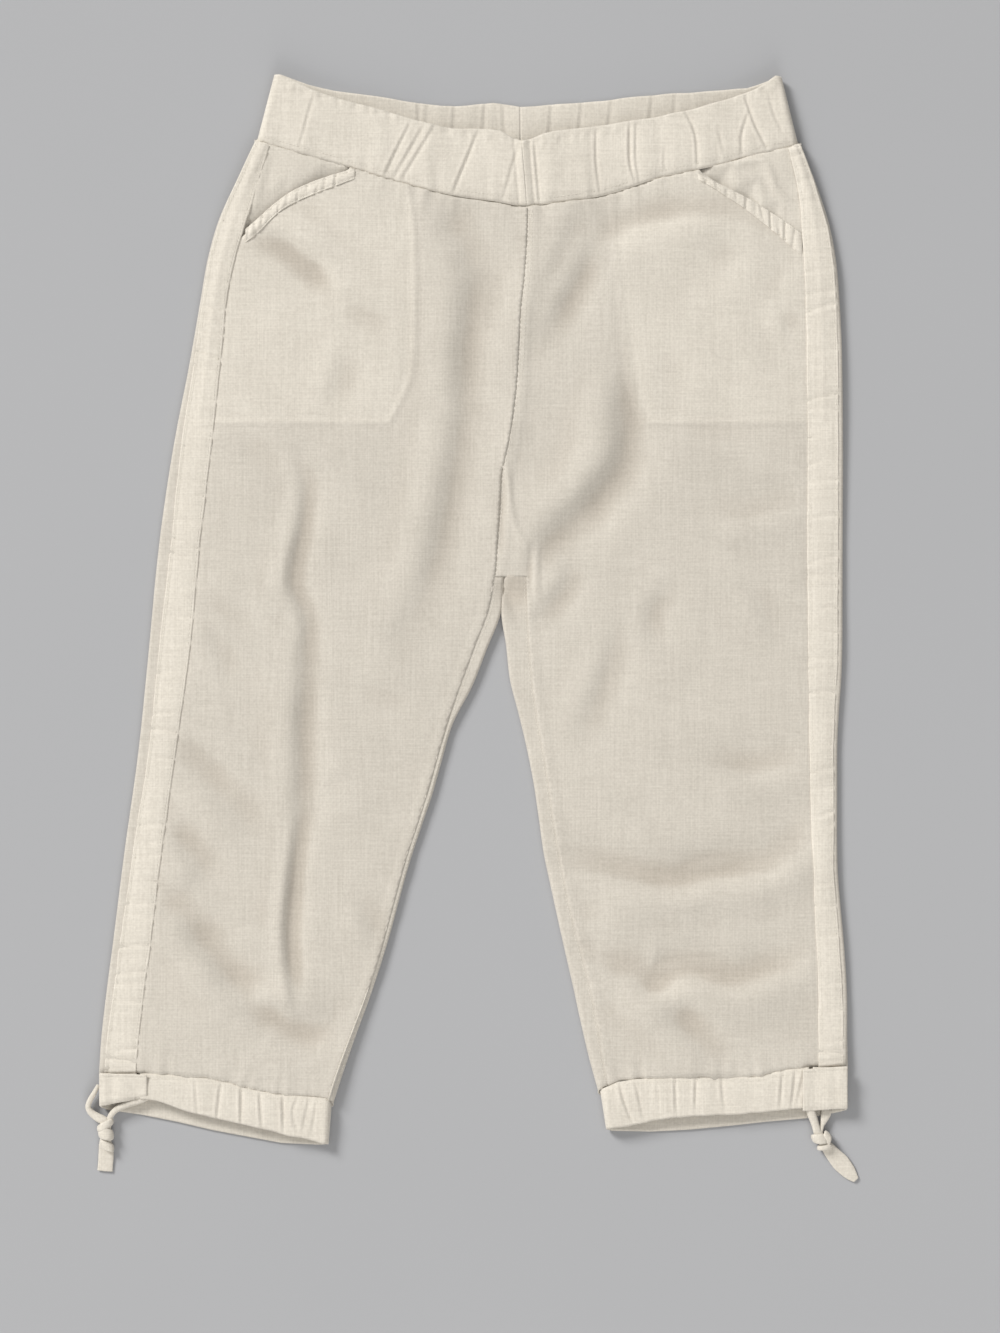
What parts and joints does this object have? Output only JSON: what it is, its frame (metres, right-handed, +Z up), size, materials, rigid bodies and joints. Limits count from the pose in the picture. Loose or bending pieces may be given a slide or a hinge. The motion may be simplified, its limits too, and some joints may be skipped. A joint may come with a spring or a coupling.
{
  "type": "capri pants",
  "caption": "Off-white linen capri pants laid flat, front up, with a gathered waistband, slanted pockets, side tapes and tied hem casings.",
  "frame": {"origin": "on the floor, at the middle of the garment's box without its ties", "axes": "+Z up out of the front cloth, +Y towards the waist, +X towards the wearer's left leg"},
  "size_m": [0.6031, 0.8621, 0.0109],
  "materials": {
    "leg_cloth": "matt off-white plain-weave linen, slubbed",
    "band_cloth": "matt off-white linen, doubled over elastic or cord and gathered",
    "trim_cloth": "matt off-white linen tape, edge-stitched and puckered",
    "tie_cloth": "matt off-white folded linen strip"
  },
  "bodies": {
    "root": {"back_right": "leg_cloth", "front_right": "leg_cloth", "pocket_bag_right": "leg_cloth", "pocket_edging_right": "trim_cloth", "side_tape_right": "trim_cloth", "waistband_right": "band_cloth", "hem_casing_right": "band_cloth", "casing_tab_right": "trim_cloth", "tie_loop_right": "tie_cloth", "tie_strand_right": "tie_cloth", "tie_knot_right": "tie_cloth", "tie_tail_right": "tie_cloth", "back_left": "leg_cloth", "front_left": "leg_cloth", "pocket_bag_left": "leg_cloth", "pocket_edging_left": "trim_cloth", "side_tape_left": "trim_cloth", "waistband_left": "band_cloth", "hem_casing_left": "band_cloth", "casing_tab_left": "trim_cloth", "tie_loop_left": "tie_cloth", "tie_strand_left": "tie_cloth", "tie_knot_left": "tie_cloth", "tie_tail_left": "tie_cloth"}
  },
  "joints": []
}
